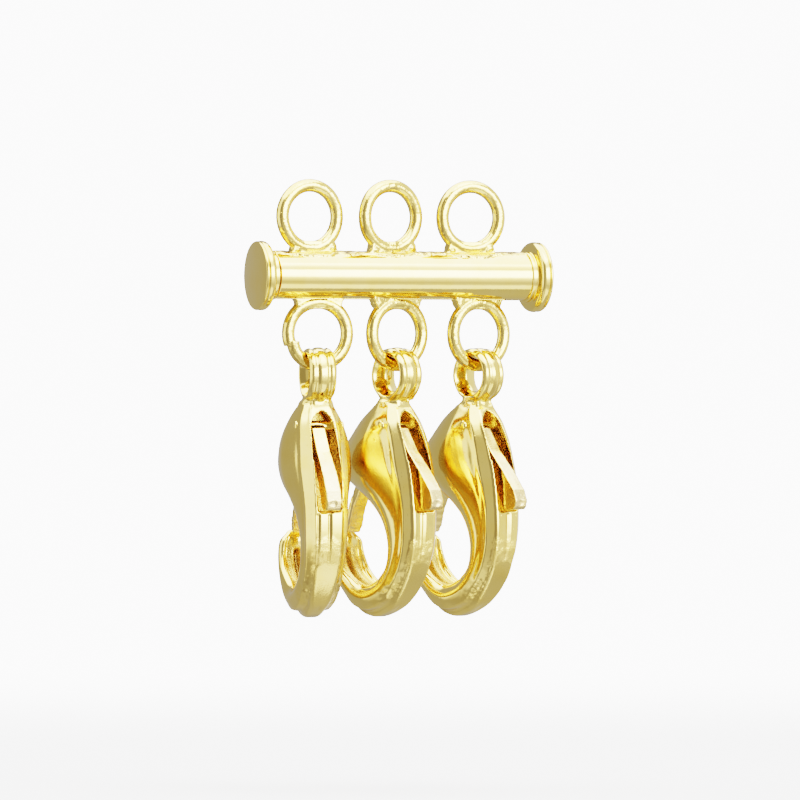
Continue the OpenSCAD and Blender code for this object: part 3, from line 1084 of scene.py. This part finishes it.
@dataclass
class ClawBody:
    """Cast body of a claw in its own frame: X across, Y towards the opening, Z up.

    The profile runs from the eye down the spine and up the hook. In it u is towards the
    opening and w is downwards from the top of the eye. FACE, BELLY and EDGE are half
    thicknesses at the outer face, at the fullest part and at the inner edge. RAIL is the
    width of the bevel along the spine and RISE how far it spreads, CROWN the place of the
    fullest part as a share of the depth, DIP the depth of the line beside the bevel, SCOOP
    the depth of the recess in the hook's inner face, and ROUND the radius of the outer corner.

    A zone is a part of the skin that has its own marks of casting and filing, or its own painted
    shade and reflection. EDGES has what it is measured along, its start and the width of its soft
    edge, and HUMPS what a rounded zone is measured along, its centre, its half width and its power.
    RELIEF is how far a zone stands out, ROUGH the height of its noise and the noise's cells for each
    millimetre, MARKS the share of each zone in each painted mark, and MOST the most that a mark can
    reach. The recess ends at HOOK, a line in w and u, and the spine is the first SPINE_ROWS rows.
    """

    EDGES: ClassVar[dict[str, tuple[tuple[str, float, float], ...]]] = {
        "back": (("u", 0.2, -0.5), ("off", 0.98, -0.15)),
        "panel": (("u", 0.2, -0.8), ("off", 1.0, -0.4), ("arched", 12.45, 0.3)),
        "band": (("ragged", 11.2, 0.5), ("w", 13.4, -0.6)),
        "corner": (("u", 0.6, -0.4),),
        "filed": (("w", 9.75, 0.1),),
        "fading": (("w", 10.6, 1.6),),
        "recess": (("u", 2.0, 0.5), ("w", 11.5, 0.4), ("off", 0.75, -0.15), ("past_hook", 0.0, -0.3)),
        "slot": (("w", 11.8, 0.5), ("w", 14.2, -0.5)),
        "far": (("n", 1.0, 0.3), ("w", 3.6, 0.5)),
        "eye": (("w", 2.9, -0.3),),
        "inside": (
            ("past_spine", 0.18, 0.22), ("off", 0.94, -0.08), ("w", 3.75, 0.12), ("w", 9.85, -0.1),
            ("u", 1.6, -0.6),
        ),
        "inner_low": (("w", 6.2, 1.8),),
    }
    HUMPS: ClassVar[dict[str, tuple[tuple[str, float, float, int], ...]]] = {
        "neck": (("w", 3.15, 0.32, 2),),
        "corner": (("w", 14.3, 0.8, 2), ("off", 0.95, 0.22, 2)),
        "slot": (("n", -0.08, 0.17, 4),),
    }
    HOOK: ClassVar[Outline] = ((12.2, 5.0), (13.0, 4.6), (13.6, 3.9), (14.2, 2.9))
    SPINE_ROWS: ClassVar[int] = 16
    RELIEF: ClassVar[dict[str, float]] = {"run": -1.0, "panel": 0.018, "slot": -0.4}
    ROUGH: ClassVar[dict[str, tuple[float, float | Triple]]] = {
        "whole": (0.012, 0.9), "band": (0.028, 4.0), "neck": (0.1, 3.1), "eye": (0.016, (2.5, 1.6, 1.6)),
        "corner": (0.07, 4.0), "recess": (0.014, 3.5),
    }
    # Painted shade and reflection: the dark mark darkens the inside of the window, most near its top, the
    # slot, the file-line grooves and the far flank, which then shows darker in the next claw's reflection;
    # the plating mark warms the inside as painted reflection of the gold round it. The recess is partly rough
    # cast gold of its own tone and partly painted shade and warm reflection; the pits are the casting's own
    # dark spots.
    MARKS: ClassVar[dict[str, dict[str, float]]] = {
        "matte": {
            "band": 0.8, "panel": 0.3, "neck": 0.25, "corner": 0.3, "recess": 1.0, "far": 0.6, "inside": 1.0,
        },
        "dark": {"run": 3.75, "inner_top": 0.25, "recess": 0.35, "slot": 0.9, "far": 0.5, "pits": 0.5},
        "plated": {"inside": 1.0, "recess": 0.5},
    }
    MOST: ClassVar[dict[str, float]] = {"matte": 1.0, "dark": 0.9, "plated": 1.0}

    eye_top: float
    eye_r: float = 1.61
    eye_hole: float = 1.02
    eye_half: float = 0.84
    eye_flare: float = 0.29
    eye_flare_power: float = 1.6
    eye_round: float = 0.05
    eye_points: tuple[int, int, int] = (25, 70, 128)
    eye_rim: Outline = (
        (0.84, -0.3), (0.82, -0.24), (0.76, -0.16), (0.66, -0.07), (0.5208, -0.03),
        (0.4368, -0.07), (0.3612, -0.09), (0.2856, -0.06), (0.2016, 0.0), (0.0, 0.02),
    )
    voxel: float = 0.066
    rows: tuple[tuple[float, ...], ...] = (
        (-0.55, 2.90, 0.95, 2.90, 0.55, 0.82, 0.62, 0.30, 0.12, 0.50, 0.00, 0.0, 0.12),
        (-0.60, 3.30, 1.35, 3.30, 0.60, 1.00, 0.65, 0.35, 0.22, 0.50, 0.00, 0.0, 0.12),
        (-0.88, 3.80, 1.95, 3.75, 0.72, 1.28, 0.70, 0.45, 0.34, 0.52, 0.00, 0.0, 0.12),
        (-1.25, 4.40, 2.60, 4.30, 0.84, 1.60, 0.82, 0.50, 0.41, 0.48, 0.01, 0.0, 0.12),
        (-1.62, 5.15, 3.25, 5.05, 0.88, 1.90, 0.95, 0.52, 0.44, 0.46, 0.02, 0.0, 0.12),
        (-1.92, 5.85, 3.85, 5.75, 0.88, 2.06, 1.03, 0.56, 0.49, 0.43, 0.02, 0.0, 0.12),
        (-2.22, 6.80, 4.25, 6.60, 0.88, 2.14, 1.08, 0.60, 0.53, 0.41, 0.02, 0.0, 0.12),
        (-2.42, 7.60, 4.15, 7.30, 0.88, 2.08, 1.08, 0.59, 0.52, 0.41, 0.02, 0.0, 0.12),
        (-2.56, 8.50, 3.60, 7.85, 0.88, 1.92, 1.02, 0.54, 0.465, 0.43, 0.02, 0.0, 0.12),
        (-2.64, 9.30, 2.55, 8.45, 0.87, 1.70, 0.97, 0.51, 0.43, 0.45, 0.02, 0.0, 0.12),
        (-2.68, 10.0, 1.45, 9.20, 0.86, 1.53, 0.92, 0.50, 0.42, 0.48, 0.02, 0.0, 0.12),
        (-2.67, 10.7, 0.70, 9.95, 0.84, 1.42, 0.87, 0.50, 0.43, 0.50, 0.02, 0.0, 0.12),
        (-2.62, 11.4, 0.25, 10.8, 0.82, 1.36, 0.83, 0.51, 0.43, 0.50, 0.02, 0.0, 0.12),
        (-2.50, 12.1, 0.05, 11.7, 0.80, 1.33, 0.80, 0.51, 0.42, 0.50, 0.02, 0.0, 0.14),
        (-2.22, 12.9, 0.12, 12.55, 0.78, 1.32, 0.80, 0.52, 0.38, 0.50, 0.03, 0.0, 0.16),
        (-1.80, 13.75, 0.42, 13.12, 0.76, 1.32, 0.80, 0.54, 0.38, 0.50, 0.02, 0.0, 0.20),
        (-1.02, 14.72, 0.95, 13.62, 0.70, 1.33, 0.80, 0.52, 0.42, 0.52, 0.01, 0.0, 0.28),
        (0.00, 15.48, 1.55, 13.90, 0.62, 1.35, 0.82, 0.48, 0.46, 0.55, 0.00, 0.0, 0.34),
        (1.50, 15.95, 2.10, 13.97, 0.56, 1.38, 0.86, 0.46, 0.50, 0.55, 0.00, 0.06, 0.36),
        (2.80, 15.75, 2.75, 13.75, 0.54, 1.36, 0.90, 0.46, 0.52, 0.55, 0.00, 0.24, 0.36),
        (3.80, 15.05, 3.40, 13.35, 0.54, 1.31, 0.93, 0.44, 0.50, 0.55, 0.00, 0.34, 0.36),
        (4.70, 14.15, 3.90, 12.9, 0.54, 1.26, 1.00, 0.40, 0.48, 0.58, 0.00, 0.35, 0.34),
        (5.35, 13.15, 4.20, 12.4, 0.54, 1.22, 1.02, 0.36, 0.44, 0.60, 0.00, 0.33, 0.32),
        (5.68, 12.2, 4.35, 11.9, 0.52, 1.16, 0.98, 0.34, 0.40, 0.60, 0.00, 0.27, 0.30),
        (5.72, 11.5, 4.38, 11.4, 0.48, 1.04, 0.86, 0.32, 0.34, 0.60, 0.00, 0.18, 0.28),
        (5.40, 11.0, 4.60, 11.05, 0.34, 0.68, 0.46, 0.22, 0.20, 0.60, 0.00, 0.05, 0.16),
    )
    cavity: Outline = (
        (-4, 3.82), (-0.2, 3.82), (0.3, 3.95), (0.6, 4.3), (1.47, 5.3), (2.47, 6.4),
        (3.19, 7.4), (3.6, 8.2), (4.1, 9.4), (2.0, 10.6), (0.8, 10.1), (0.86, 9.5),
        (0.5, 8.4), (-0.3, 7.4), (-1.2, 8.1), (-2.05, 9.1), (-2.35, 9.72), (-4, 9.72),
    )
    cavity_half: float = 0.62
    window: Outline = (
        (0.0, 3.72), (0.25, 3.84), (0.48, 4.12), (0.62, 4.5), (0.7, 5.2), (0.76, 6.0), (0.83, 7.0),
        (0.87, 8.2), (0.85, 9.45), (0.7, 9.72), (-0.5, 9.72), (-0.64, 9.5), (-0.68, 8.8), (-0.74, 7.8),
        (-0.8, 6.5), (-0.79, 5.2), (-0.74, 4.55), (-0.6, 4.25), (-0.3, 3.92),
    )
    window_floor: float = 0.3
    window_reach: float = 4.0
    sections: int = 230
    nose: float = 0.28
    nose_angles: tuple[float, ...] = (20, 40, 60, 75, 86)
    shoulder_power: float = 1.3
    line_place: float = 0.32
    line_half: float = 0.16
    corner_share: float = 0.2
    inner_share: float = 0.42
    inner_round: tuple[Pair, Pair] = ((11.5, 14.5), (0.8, 0.34))
    lip: float = 0.6
    scoop_share: float = 0.94
    scoop_steep: float = 2.2
    face_points: int = 7
    corner_angles: tuple[float, ...] = (15, 30, 45, 60, 75, 90)
    side_points: tuple[int, int, int] = (9, 13, 17)
    bend_points: int = 22

    def half_thickness(self, row: np.ndarray, x: np.ndarray, length: float) -> np.ndarray:
        """Half thickness of a section.

        Args:
            row: Row of the profile.
            x: Depths from the outer face.
            length: Depth of the whole section.

        Returns:
            Half thickness at each depth.
        """
        columns = (Col.FACE, Col.BELLY, Col.EDGE, Col.RAIL, Col.RISE)
        face, belly, edge, rail, spread = (row[c] for c in columns)
        start = min(row[Col.ROUND], self.corner_share * length)
        crown = max(row[Col.CROWN] * length, rail + 0.05)
        ridge = face + spread
        bevel = face + spread * (x - start) / (rail - start)
        outer = 1 - (1 - np.clip((x - rail) / (crown - rail), 0, 1)) ** self.shoulder_power
        inner = np.cos(math.pi / 2 * np.clip((x - crown) / (length - crown), 0, 1))
        flank = np.where(x < crown, ridge + (belly - ridge) * outer, edge + (belly - edge) * inner)
        line = row[Col.DIP] * hump(x, rail + self.line_place, self.line_half)
        return np.where(x < rail, bevel, flank) - line

    def section(self, row: np.ndarray) -> Points:
        """One closed ring of points round the body.

        The half of it on one side runs over the outer face, its rounded corner, the bevel, the
        flank and the inner edge, which is broad on the spine and crisp on the hook.

        Args:
            row: Row of the profile.

        Returns:
            The points, in the claw's own frame.
        """
        outer = np.array([row[Col.OUTER_U], row[Col.OUTER_W]])
        inner = np.array([row[Col.INNER_U], row[Col.INNER_W]])
        length = float(np.hypot(*(inner - outer)))
        face, rail = row[Col.FACE], row[Col.RAIL]
        corner = min(row[Col.ROUND], self.corner_share * length)
        round_in = min(self.inner_share * length, np.interp(outer.sum(), *self.inner_round))
        turn = np.radians(self.corner_angles)
        flank = length - round_in
        lip = min(rail + self.lip, 0.5 * (rail + length - round_in))
        stretches = zip((corner, rail, lip), (rail, lip, flank), self.side_points)
        side = np.concatenate([np.linspace(*stretch)[1:] for stretch in stretches])
        bend = np.radians(np.linspace(0, 90, self.bend_points)[1:])
        x_in = flank + round_in * np.sin(bend)
        n_in = self.half_thickness(row, x_in, length) * np.cos(bend)
        hollow = ease(self.scoop_steep * (1 - (n_in / (self.scoop_share * row[Col.EDGE])) ** 2))
        x_in = x_in - row[Col.SCOOP] * hollow
        across = np.linspace(0, face - corner, self.face_points)
        n = np.concatenate([across, face - corner + corner * np.sin(turn),
                            self.half_thickness(row, side, length), n_in])
        x = np.concatenate([0 * across, corner * (1 - np.cos(turn)), side, x_in])
        n = np.concatenate([n, -n[-2:0:-1]])
        x = np.concatenate([x, x[-2:0:-1]])
        uw = outer + np.outer(x / length, inner - outer)
        return np.stack([n, uw[:, 0], self.eye_top - uw[:, 1]], axis=1)

    def loft(self) -> Surface:
        """Solid body with a round nose on the hook.

        Returns:
            Its surface.
        """
        rows = smooth_rows(np.array(self.rows), self.sections)
        rings = [self.section(row) for row in rows]
        tip, before = rings[-1], rings[-8]
        middle = tip.mean(axis=0)
        ahead = middle - before.mean(axis=0)
        ahead *= self.nose / np.linalg.norm(ahead)
        for a in np.radians(self.nose_angles):
            rings.append(middle + (tip - middle) * math.cos(a) + ahead * math.sin(a))
        return Surface.grid(np.stack(rings))

    def eye(self) -> Surface:
        """Barrel shaped eye with a flared hole and ridges on its rim.

        Returns:
            Its surface.
        """
        inside, outside, around = self.eye_points
        x = np.linspace(self.eye_round - self.eye_half, self.eye_half - self.eye_round, inside)
        hole = self.eye_hole + self.eye_flare * np.abs(x / self.eye_half) ** self.eye_flare_power
        rim = np.array(self.eye_rim)
        rim = np.concatenate([rim, (rim * (-1, 1))[-2::-1]])
        rim = smooth_rows(rim, outside) + (0, self.eye_r)
        profile = np.concatenate([np.stack([x, hole], axis=1), rim])
        place = Matrix.Translation((0, 0, self.eye_top - self.eye_r))
        return Surface.lathe(profile, around).moved(place)

    def outline(self, table: Outline) -> Points:
        """Outline of u and w as u and height."""
        return np.array(table) * (1, -1) + (0, self.eye_top)

    def window_cutter(self) -> Surface:
        """Block that opens the spine over the lever.

        Returns:
            Its surface.
        """
        cutter = Surface.plate(self.outline(self.window), self.window_reach / 2, axis=1)
        cutter.points[:, 1] += self.window_floor - self.window_reach / 2
        return cutter

    def surface(self) -> Surface:
        """Whole body, fused, before its casting marks.

        Returns:
            Its surface.
        """
        room = Surface.plate(self.outline(self.cavity), self.cavity_half)
        body = self.loft().cut(room, self.window_cutter())
        return (body + self.eye()).fused(self.voxel, 4)

    def zones(self, points: Points, noise: Noise, lines: Sequence[Triple]) -> dict[str, np.ndarray]:
        """Places of the marks of casting and filing and of the painted shade and reflection.

        Args:
            points: Points of the body.
            noise: Noise of this claw.
            lines: File lines down the spine.

        Returns:
            How much of each zone is at each point. The band is the rough cast part of the spine,
            the panel the filed face under it, the run the file lines, and far the right flank.
        """
        n, u, z = points.T
        w = self.eye_top - z
        spine_u, spine_w = np.array([row[:2] for row in self.rows[:self.SPINE_ROWS]]).T
        along = {
            "n": n, "u": u, "w": w, "off": np.abs(n),
            "arched": w - 0.5 * (n / 0.85) ** 2,
            "ragged": w - 0.3 * noise.at(points, 1.6),
            "past_hook": u - np.interp(w, *np.array(self.HOOK).T),
            "past_spine": u - np.interp(w, spine_w, spine_u),
        }
        at = {"whole": np.ones(len(w))}
        for zone, edges in self.EDGES.items():
            at[zone] = math.prod(rise(along[name], *edge) for name, *edge in edges)
        for zone, humps in self.HUMPS.items():
            at[zone] = at.get(zone, 1) * math.prod(hump(along[name], *form) for name, *form in humps)
        as_cast = at["back"] * (1 - at["panel"])
        at["band"] = at["band"] * as_cast
        lined = sum(depth * hump(n, centre, half) for centre, half, depth in lines)
        at["run"] = as_cast * at["filed"] * (1 - 0.6 * at["fading"]) * lined
        at["pits"] = at["corner"] * ease(2 * noise.at(points, 4.0))
        at["slot"] = at["slot"] * at["recess"]
        at["inner_top"] = at["inside"] * (1 - 0.6 * at["inner_low"])
        return at

    def marked(self, body: Surface, seed: int, lines: Sequence[Triple]) -> Surface:
        """Body with the marks of casting and filing and with its painted shade and reflection.

        Args:
            body: Fused body.
            seed: Seed of this claw's own marks.
            lines: File lines down the spine.

        Returns:
            The marked body.
        """
        noise = Noise(seed)
        points = body.points
        at = self.zones(points, noise, lines)
        amount = sum(depth * at[zone] for zone, depth in self.RELIEF.items())
        for zone, (depth, cells) in self.ROUGH.items():
            amount = amount + depth * at[zone] * noise.at(points, cells)
        marked = body.raised(amount)
        marked.marks = {
            mark: np.clip(sum(share * at[zone] for zone, share in shares.items()), 0, self.MOST[mark])
            for mark, shares in self.MARKS.items()
        }
        return marked


@dataclass
class LeverPlate:
    """Sprung lever of a claw: the gate and the thumb plate in one.

    Its outlines are in u and w, as the claw's are. The gate's line is where the gate begins,
    and the half widths are given at some values of w. The ribs run across the gate.
    """

    eye_top: float
    gate: Outline = (
        (-0.1, 4.75), (0.1, 4.45), (0.35, 4.4), (0.6, 4.65), (1.35, 5.4), (2.35, 6.5), (3.07, 7.5),
        (3.52, 8.2), (4.05, 9.3), (4.38, 10.3), (4.46, 10.75), (4.38, 10.95), (4.1, 10.98),
        (3.92, 10.5), (3.58, 9.5), (2.9, 8.4), (1.75, 7.3), (0.6, 6.3), (-0.4, 5.9), (-0.4, 4.95),
    )
    thumb: Outline = (
        (-0.2, 4.9), (0.2, 5.6), (-0.1, 6.1), (-1.0, 6.9), (-1.9, 7.95), (-2.45, 8.95), (-2.75, 9.45),
        (-3.1, 9.6), (-3.7, 9.56), (-3.88, 9.4), (-3.93, 9.0), (-3.7, 8.4), (-2.85, 7.4), (-1.65, 6.1),
        (-0.85, 4.75), (-0.5, 4.55),
    )
    gate_line: Outline = ((4.6, -0.25), (6.1, 0.1), (9.6, -1.5))
    gate_half: Outline = ((8.2, 0.4), (9.4, 0.48), (10.6, 0.52), (11.0, 0.42))
    thumb_half: Outline = ((4.6, 0.41), (7.0, 0.45), (9.7, 0.44))
    dimple: Triple = (-0.04, -3.95, 9.2)
    dimple_radii: Triple = (0.2, 0.3, 0.22)
    dimple_depth: float = 0.05
    top_shift: float = 0.16
    relief: float = 0.012
    relief_cells: Triple = (3.0, 2.0, 2.0)
    rib: float = 0.008
    rib_pace: float = 15.0
    voxel: float = 0.055

    def plate(self, table: Outline, halves: Outline) -> Surface:
        """Plate of the lever.

        Args:
            table: Outline in u and w.
            halves: Half width of the plate at some values of w.

        Returns:
            Its surface.
        """
        plate = Surface.plate(np.array(table) * (1, -1) + (0, self.eye_top), 1.0)
        w, half = np.array(halves).T
        plate.points[:, 0] *= np.interp(self.eye_top - plate.points[:, 2], w, half)
        return plate

    def surface(self) -> Surface:
        """Lever in its claw's frame, with its dimple, its ribbed gate and its marks, which paint shade on its
        top under the claw's head and reflection of the gold round it on its sides and upper part.

        Returns:
            Its surface.
        """
        made = self.plate(self.gate, self.gate_half) + self.plate(self.thumb, self.thumb_half)
        made = made.fused(self.voxel, 3)
        n, u, z = made.points.T
        w = self.eye_top - z
        place = (np.stack([n, u, w]).T - self.dimple) / self.dimple_radii
        gate = rise(u - np.interp(w, *np.array(self.gate_line).T), 0.0, 0.15)
        side = rise(np.abs(n) - np.interp(w, *np.array(self.thumb_half).T), -0.07, 0.04)
        amount = -self.dimple_depth * ease(1.4 - np.linalg.norm(place, axis=1))
        amount += self.relief * Noise(51).at(made.points, self.relief_cells)
        amount += self.rib * np.sin(self.rib_pace * w) * gate * rise(w, 8.0, 0.5)
        made = made.raised(amount)
        made.points[:, 0] -= self.top_shift * rise(w, 7.5, -3.0) * (1 - gate)
        # Painted shade: the top, under the claw's head, is darkened. Painted reflection: the sides and the
        # upper part are warmed, and the sides darkened a little, as by the gold round them; the gate is
        # warmer too.
        made.marks = {
            "plated": np.maximum.reduce([0.5 * gate, side, 0.6 * rise(w, 7.4, -1.6)]),
            "dark": np.clip(0.85 * rise(w, 4.8, -0.08) + 0.15 * side, 0, 1),
        }
        return made


@dataclass
class Claw:
    """One claw with its lever and rivet, at its place on the slider.

    A file line is its place across, its half width and its depth.
    """

    side: str
    seed: int
    pivot: Vector
    turn: float
    eye_top: float
    rivet_r: float = 0.33
    rivet_half: float = 1.54
    rivet_dome: float = 0.16
    lever_place: Pair = (-0.2, 4.65)
    lines: tuple[Triple, ...] = ()

    @classmethod
    def from_frame(cls, side: str, seed: int, lines: tuple[Triple, ...]) -> "Claw":
        """Reads the claw's place from its joints.

        Args:
            side: left, middle or right.
            seed: Seed of its own casting marks.
            lines: File lines down its spine.

        Returns:
            The claw.
        """
        joints = {j["name"]: j for j in frame["joints"]}
        pivot = Vector(joints[f"claw_{side}_swing"]["pos_m"]) / MM
        lever = joints[f"lever_{side}_turn"]
        across = -Vector(lever["axis"])
        eye_top = lever["pos_m"][2] / MM - pivot.z + cls.lever_place[1]
        return cls(side, seed, pivot, math.atan2(across.y, across.x), eye_top, lines=lines)

    def place(self) -> Matrix:
        """Matrix from the claw's own frame to the clasp's."""
        return Matrix.Translation(self.pivot) @ Matrix.Rotation(self.turn, 4, "Z")

    def rivet(self) -> Surface:
        """Rivet through the head, with domed ends.

        Returns:
            Its surface.
        """
        t = np.radians(np.linspace(0, 90, 9))
        x = self.rivet_half - self.rivet_dome * (1 - np.sin(t))
        cap = np.stack([x, np.maximum(self.rivet_r * np.cos(t), 0.005)], axis=1)
        profile = np.concatenate([cap, (cap * (-1, 1))[::-1]])
        u, w = self.lever_place
        return Surface.lathe(profile, 48).moved(Matrix.Translation((0, u, self.eye_top - w)))

    def build(self, shop: Workshop, body: ClawBody, skin: Surface, lever: Surface) -> None:
        """Builds the claw on its bodies.

        Args:
            shop: Where pieces are dressed.
            body: The claw's form.
            skin: Fused body in the claw's own frame.
            lever: Lever in the same frame.
        """
        place = self.place()
        name = f"claw_{self.side}"
        cast = body.marked(skin, self.seed, self.lines).moved(place).piece(f"{name}_body")
        shop.dress(cast, name, Slot.CAST, CAST, name)
        rivet = self.rivet().moved(place).piece(f"{name}_rivet", 50)
        shop.dress(rivet, name, Slot.CAST, CAST, f"pin_{self.side}")
        plate = lever.moved(place).piece(f"lever_{self.side}_plate")
        shop.dress(plate, f"lever_{self.side}", Slot.PALE, BRUSHED, f"lever_{self.side}")


CLAW_SEEDS = (41, 42, 43)
FILE_LINES = (
    ((0.06, 0.07, 0.13), (-0.64, 0.07, 0.11)),
    ((-0.3, 0.05, 0.06), (-0.06, 0.06, 0.08)),
    ((0.02, 0.14, 0.09),),
)


@dataclass(frozen=True)
class Panel:
    """Upright light panel or dark card round the clasp.

    Its sides are in degrees to the right of the camera. Its levels run from the bottom of the
    room, -1, to the top, 1.
    """

    left: float
    right: float
    soft: float
    levels: Outline


def card(level: float, floor: float = 1.9) -> Outline:
    """Levels of a plain card that leaves the floor and the ceiling of the room free."""
    return (-1.0, floor), (-0.66, floor), (-0.54, level), (0.64, level), (0.76, 4.5), (1.0, 4.5)


ROOM_LEVELS = card(0.42, 0.5)
PANELS = (
    Panel(75, 172, 8, (
        (-1.0, 0.6), (-0.7, 0.5), (-0.5, 0.6), (-0.25, 1.1), (0.64, 1.1), (0.76, 4.5), (1.0, 4.5),
    )),
    Panel(-98, -48, 8, (
        (-1.0, 0.4), (-0.5, 0.4), (-0.34, 1.1), (-0.22, 1.8), (0.64, 1.8), (0.76, 4.5), (1.0, 4.5),
    )),
    Panel(-44, -14, 8, card(0.3, 1.0)),
    Panel(-14, 16, 8, card(0.58, 0.8)),
    Panel(16, 71, 6, (
        (-1.0, 1.9), (-0.64, 1.9), (-0.58, 0.95), (-0.45, 0.75), (-0.3, 1.2), (-0.13, 2.0), (0.02, 7.0),
        (0.1, 8.0), (0.4, 8.0), (0.49, 2.3), (0.56, 2.3), (0.66, 3.0), (0.76, 6.0), (0.85, 8.0), (1.0, 7.0),
    )),
)


@dataclass
class Studio:
    """Camera, soft light and floor."""

    azimuth: float = -25.0
    pixels_per_mm: float = 16.9
    frame_pixels: float = 800.0
    origin_x: float = 390.4
    origin_y: float = 217.15
    distance: float = 600.0
    floor_drop: float = 34.0
    floor_reach: float = 280.0
    floor_sides: int = 96
    floor_fade: Pair = (0.3, 0.98)
    white: float = 5.0

    def camera(self) -> None:
        """Long lens at the photo's angle, level with the clasp."""
        half = self.frame_pixels / self.pixels_per_mm / 2
        data = bpy.data.cameras.new("camera")
        data.sensor_width = 36.0
        data.lens = data.sensor_width / 2 * self.distance / half
        data.clip_start, data.clip_end = 0.01, 10.0
        a = math.radians(self.azimuth)
        right = Vector((math.cos(a), math.sin(a), 0))
        back = Vector((math.sin(a), -math.cos(a), 0))
        middle = self.frame_pixels / 2
        aim = right * (middle - self.origin_x) + Vector((0, 0, self.origin_y - middle))
        camera = bpy.data.objects.new("camera", data)
        camera.location = (aim / self.pixels_per_mm + back * self.distance) * MM
        camera.rotation_mode = "QUATERNION"
        camera.rotation_quaternion = (-back).to_track_quat("-Z", "Y")
        bpy.context.scene.collection.objects.link(camera)
        bpy.context.scene.camera = camera

    def level(self, shader: Shader, height: Val, levels: Outline) -> Val:
        """Brightness of a panel.

        Args:
            shader: Shader to build it in.
            height: Height between -1 and 1.
            levels: Levels of the panel.

        Returns:
            The brightness.
        """
        top = max(v for _, v in levels)
        stops = [((z + 1) / 2, (v / top,) * 3) for z, v in levels]
        return shader.node("ShaderNodeValToRGB", {"stops": stops}, {0: height * 0.5 + 0.5}, "Color") * top

    def light(self) -> None:
        """Light panels and cards all round the clasp, and white behind it."""
        world = bpy.data.worlds.new("studio")
        bpy.context.scene.world = world
        shader = Shader(world)
        way = shader.node("ShaderNodeTexCoord", {}, {}, "Generated")
        height = shader.node("ShaderNodeSeparateXYZ", {}, {0: way}, "Z")
        a = math.radians(self.azimuth)
        right = shader.toward(way, (math.cos(a), math.sin(a), 0))
        front = shader.toward(way, (math.sin(a), -math.cos(a), 0))
        turn = shader.node("ShaderNodeMath", {"operation": "ARCTAN2"}, {0: right, 1: front}) * math.degrees(1)
        room = self.level(shader, height, ROOM_LEVELS)
        for panel in PANELS:
            half = panel.soft / 2
            inside = turn.step(panel.left - half, panel.left + half)
            inside = inside * turn.step(panel.right - half, panel.right + half, 1.0, 0.0)
            room = room * (1 - inside) + self.level(shader, height, panel.levels) * inside
        seen = shader.node("ShaderNodeLightPath", {}, {}, "Is Camera Ray")
        level = room * (1 - seen) + seen * self.white
        colour = shader.node("ShaderNodeCombineColor", {}, {0: level, 1: level, 2: level}, "Color")
        sky = shader.node("ShaderNodeBackground", {}, {"Color": colour, "Strength": 1.0}, "Background")
        shader.surface(sky, "ShaderNodeOutputWorld")

    def pale(self, name: str, reach: float) -> bpy.types.Material:
        """Matt white that fades out towards its rim.

        Args:
            name: Name of the material.
            reach: Radius in millimetres at which it is gone.

        Returns:
            The material.
        """
        material = bpy.data.materials.new(name)
        shader = Shader(material)
        place = shader.place()
        far = shader.node("ShaderNodeVectorMath", {"operation": "LENGTH"}, {0: place}, "Value")
        white = shader.node("ShaderNodeBsdfDiffuse", {}, {"Color": (0.9, 0.9, 0.9, 1.0)}, "BSDF")
        clear = shader.node("ShaderNodeBsdfTransparent", {}, {}, "BSDF")
        fade = far.step(*(share * reach for share in self.floor_fade))
        shader.surface(shader.node("ShaderNodeMixShader", {}, {0: fade, 1: white, 2: clear}, "Shader"))
        return material

    def floor(self) -> None:
        """Pale round floor under the clasp."""
        angle = np.arange(self.floor_sides) * 2 * math.pi / self.floor_sides
        points = np.stack([np.cos(angle), np.sin(angle), 0 * angle], axis=1) * self.floor_reach
        floor = Surface(points, [tuple(range(self.floor_sides))]).piece("floor")
        floor.location = (0, 0, -self.floor_drop * MM)
        floor.data.materials.append(self.pale("floor_white", self.floor_reach))
        floor.visible_glossy = False

    def build(self) -> None:
        """Sets up the camera, the light, the floor and the tone of the picture."""
        self.camera()
        self.light()
        self.floor()
        view = bpy.context.scene.view_settings
        view.view_transform = "Filmic"
        view.look = "High Contrast"


def main() -> None:
    """Builds the whole clasp round the frame."""
    logging.basicConfig(level=logging.INFO, format="%(message)s")
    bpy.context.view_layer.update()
    shop = Workshop()
    bar = Bar.from_frame()
    claws = [Claw.from_frame(*facts) for facts in zip(SIDES, CLAW_SEEDS, FILE_LINES)]
    OuterTube(bar).build(shop)
    EndCaps(bar).build(shop)
    Slider(bar).build(shop, [claw.pivot for claw in claws])
    body = ClawBody(claws[0].eye_top)
    skin = body.surface()
    lever = LeverPlate(claws[0].eye_top).surface()
    for claw in claws:
        claw.build(shop, body, skin, lever)
    Studio().build()


if __name__ == "__main__":
    main()
